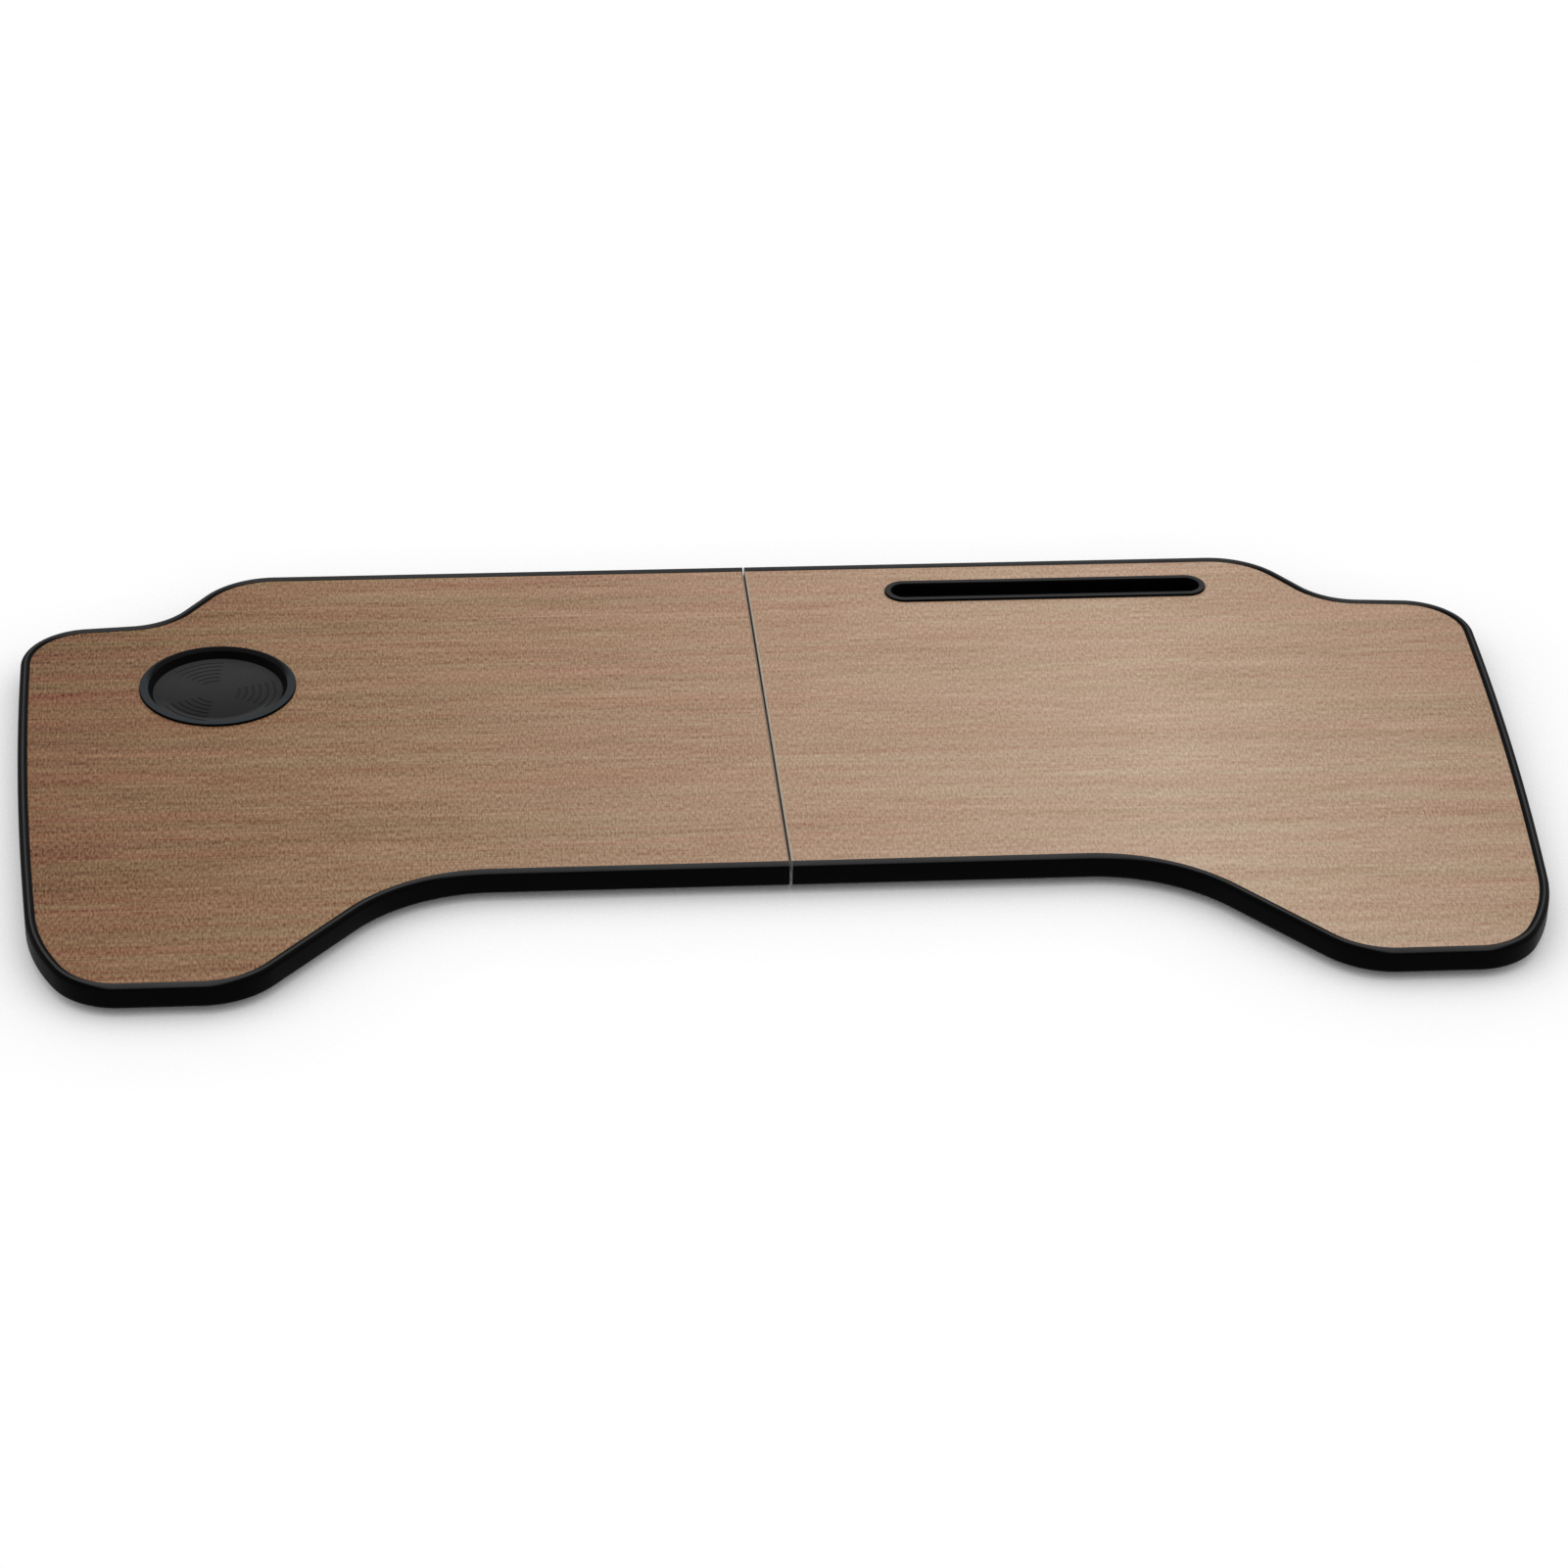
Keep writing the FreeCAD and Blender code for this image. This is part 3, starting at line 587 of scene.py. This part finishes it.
def black_plastic(name, low_facing, high_facing):
    """A black moulding, painted grey as a painted highlight where it faces up, and black where it is
    steep.
    On the rim, painted shade takes the highlight away as the Y of the surface's normal falls from
    high_facing to low_facing. Gives back the material and its nodes, the two colours, and where the
    highlight and where the rim lies."""
    rim_foot_z = board_top_z + 0.0002
    rim_flank_z = board_top_z + 0.0006
    steep_z = 0.80
    flat_z = 0.97
    made, shading = material(name, {"Specular IOR Level": 0.02})
    spark = noise(shading, (1700.0, 1700.0, 1700.0), detail=3.0, rough=0.65)
    smudge = noise(shading, (40.0, 40.0, 40.0), detail=4.0, rough=0.6, warp=0.4)
    normal = shading.node("ShaderNodeNewGeometry", {}, {}, "Normal")
    on_rim = step(axis(object_place(shading), 2), rim_foot_z, rim_flank_z)
    # Painted shade: rim slopes that face the rear lose the painted highlight.
    rim_shade_mask = on_rim * (1.0 - step(axis(normal, 1), low_facing, high_facing))
    # Painted highlight where the surface faces up.
    highlight_mask = step(axis(normal, 2), steep_z, flat_z) * (1.0 - rim_shade_mask)
    polished = ramp(smudge + 0.5, [
        (0.3, (0.0004, 0.0004, 0.0005)), (0.7, (0.0012, 0.0012, 0.0013))])
    highlight_grey = ramp(spark * 0.8 + smudge * 0.5 + 0.5, [
        (0.2, (0.022, 0.022, 0.0225)), (0.8, (0.036, 0.036, 0.037))])
    shading.feed("Roughness", spark * 0.2 + smudge * 0.2 + 0.5)
    shading.feed("Normal", relief(spark, depth=0.00005))
    return made, shading, polished, highlight_grey, highlight_mask, on_rim


# The floor is lighter towards its rear, its darker front painted shade, with a paler crescent near its
# front edge as a painted highlight, and the rim's painted highlight is a little colder than the floor's.
rim_tint = (0.92, 1.08, 1.16, 1.0)
floor_front_y = -0.040
floor_rear_y = 0.034
darkest_floor = 0.45
floor_gain = 0.75
crescent_gain = 0.8
crescent_inside = 0.029
crescent_outside = 0.0325
crescent_ends = 0.004
crescent_middle = 0.024

cup_black, shading, polished, highlight_grey, highlight_mask, on_rim = black_plastic(
    "cup_black", low_facing=-0.05, high_facing=-0.01)
from_centre = shading.node(
    "ShaderNodeVectorMath", {"operation": "SUBTRACT"},
    {0: object_place(shading), 1: (*cup_centre, cup_floor_z)})
rearward = axis(from_centre, 1)
frontward = rearward * -1.0
radius = shading.node("ShaderNodeVectorMath", {"operation": "LENGTH"}, {0: from_centre}, "Value")
# Painted shade and highlight on the dish: darker at the floor's front, a pale crescent near the front
# edge.
floor_shade = step(rearward, floor_front_y, floor_rear_y) * floor_gain + darkest_floor
crescent_highlight = step(radius, crescent_inside, crescent_outside)
crescent_highlight = crescent_highlight * step(frontward, crescent_ends, crescent_middle) * crescent_gain
tone = floor_shade + on_rim * (1.0 - floor_shade) + (1.0 - on_rim) * crescent_highlight
rim_colour = blend(1.0, highlight_grey, rim_tint, "MULTIPLY")
shading.feed("Base Color", blend(highlight_mask, polished, scaled(blend(on_rim, highlight_grey, rim_colour), tone)))
cup = skin("cup_holder_dish", cup_grid, "left_half", cup_black, True)
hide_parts("cup_holder")

# Tablet slot liner
# A long trough with a proud, well rounded rim, moulded in the same black, is glued into its pocket.
# Its mouth is rounded, so that the edge of a tablet or phone slides in and leans at a slant.
slot_centre = (0.1804, 0.1859)
slot_half_width = 0.0079
slot_half_run = 0.08555
slot_depth = 0.007
slot_wall = 0.0013
slot_floor_wall = 0.0012
slot_taper = 0.0004
slot_rim_width = 0.0041
slot_under_round = 0.0004
slot_rim_round = 0.0006
slot_mouth_round = 0.0012
slot_floor_round = 0.0008
slot_rim_top = board_top_z + rim_rise
slot_floor_z = board_top_z - slot_depth
slot_under_z = slot_floor_z - slot_floor_wall

slot_section, _ = rounded([
    (0, slot_under_z, 0),
    (slot_half_width + slot_wall, slot_under_z, slot_under_round),
    (slot_half_width + slot_wall, board_top_z, 0),
    (slot_half_width + slot_rim_width, board_top_z, 0),
    (slot_half_width + slot_rim_width, slot_rim_top, slot_rim_round),
    (slot_half_width, slot_rim_top, slot_mouth_round),
    (slot_half_width - slot_taper, slot_floor_z, slot_floor_round),
    (0, slot_floor_z, 0),
], arc_steps=10)
slot_grid, _ = turned(slot_section, slot_centre, steps=128, half_run=slot_half_run)
slot_black, shading, polished, highlight_grey, highlight_mask, on_rim = black_plastic(
    "slot_black", low_facing=-0.75, high_facing=-0.25)
# Painted highlight: the rim's up-facing faces are grey, a little brighter than the cup's.
rim_highlight = scaled(highlight_grey, on_rim * 0.05 + 1.0)
shading.feed("Base Color", blend(highlight_mask * on_rim, polished, rim_highlight))
liner = skin("tablet_slot_trough", slot_grid, "right_half", slot_black, True)
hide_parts("tablet_slot_liner")

# Rubber feet
# Three moulded rubber feet a half, slightly tapered, each held by one screw whose head is sunk in a
# counterbore. The two inner feet differ in Y, so that they pass each other when the tray folds.
foot_bottom_radius = 0.008
foot_top_radius = 0.009
screw_hole_radius = 0.0016
counterbore_radius = 0.0039
counterbore_depth = 0.0026
counterbore_round = 0.0002
foot_edge_round = 0.0003
foot_bottom_round = 0.0008
outer_foot_x = 0.350
outer_foot_ys = (0.129, -0.171)
inner_foot_x = 0.090
inner_foot_y = {"left": 0.071, "right": 0.031}

foot_section, _ = rounded([
    (screw_hole_radius, counterbore_depth, 0),
    (counterbore_radius, counterbore_depth, counterbore_round),
    (counterbore_radius, 0.0, foot_edge_round),
    (foot_bottom_radius, 0.0, foot_bottom_round),
    (foot_top_radius, underside_z, foot_edge_round),
    (screw_hole_radius, underside_z, 0),
], arc_steps=6, closed=True)
rubber, shading = material("foot_rubber", {"Specular IOR Level": 0.3})
bloom = noise(shading, (180.0, 180.0, 180.0), detail=4.0, rough=0.6)
tooth = noise(shading, (2200.0, 2200.0, 2200.0), detail=2.0, rough=0.6)
shading.feed("Base Color", ramp(bloom + tooth * 0.4 + 0.5, [
    (0.2, (0.014, 0.014, 0.014)), (0.8, (0.034, 0.033, 0.032))]))
shading.feed("Roughness", bloom * 0.25 + 0.72)
shading.feed("Normal", relief(tooth, depth=0.00006))
for half, side in (("left", -1), ("right", 1)):
    centres = [(side * outer_foot_x, y) for y in outer_foot_ys]
    centres.append((side * inner_foot_x, inner_foot_y[half]))
    for number, centre in enumerate(centres, start=1):
        grid, _ = turned(foot_section, centre, steps=72)
        foot = skin(f"{half}_foot_{number}", grid, half + "_half", rubber, True)
        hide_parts(half + "_rubber_feet")

# Hinges and screws
# Two pressed-steel butt hinges lie on the underside, their leaves curled round a loose pin. They are
# nickel-plated; the screws that hold them and the feet are zinc-plated steel with a cross recess.
nickel, shading = material("nickel_plated_steel", {"Metallic": 1.0})
brushed = noise(shading, (80.0, 1800.0, 1800.0), detail=3.0, rough=0.6)
stain = noise(shading, (150.0, 150.0, 150.0), detail=4.0, rough=0.6, warp=0.5)
shading.feed("Base Color", ramp(brushed * 0.5 + stain + 0.5, [
    (0.2, (0.42, 0.40, 0.37)), (0.8, (0.62, 0.60, 0.56))]))
shading.feed("Roughness", brushed * 0.2 + stain * 0.3 + 0.34)
shading.feed("Normal", relief(brushed, depth=0.00003))
for end in ("front", "rear"):
    dress(nickel, *(f"{end}_hinge_{part}" for part in ("left_leaf", "right_leaf", "pin")))

zinc, shading = material("zinc_plated_steel", {"Metallic": 1.0})
passivation = noise(shading, (260.0, 260.0, 260.0), detail=3.0, rough=0.6, warp=0.4)
scuffs = noise(shading, (1600.0, 1600.0, 1600.0), detail=3.0, rough=0.6)
shading.feed("Base Color", ramp(passivation + scuffs * 0.4 + 0.5, [
    (0.2, (0.44, 0.45, 0.47)), (0.8, (0.60, 0.61, 0.60))]))
shading.feed("Roughness", scuffs * 0.3 + 0.3)
shading.feed("Normal", relief(scuffs, depth=0.00003))
dress(zinc, "left_foot_screws", "right_foot_screws", "left_hinge_screws", "right_hinge_screws")
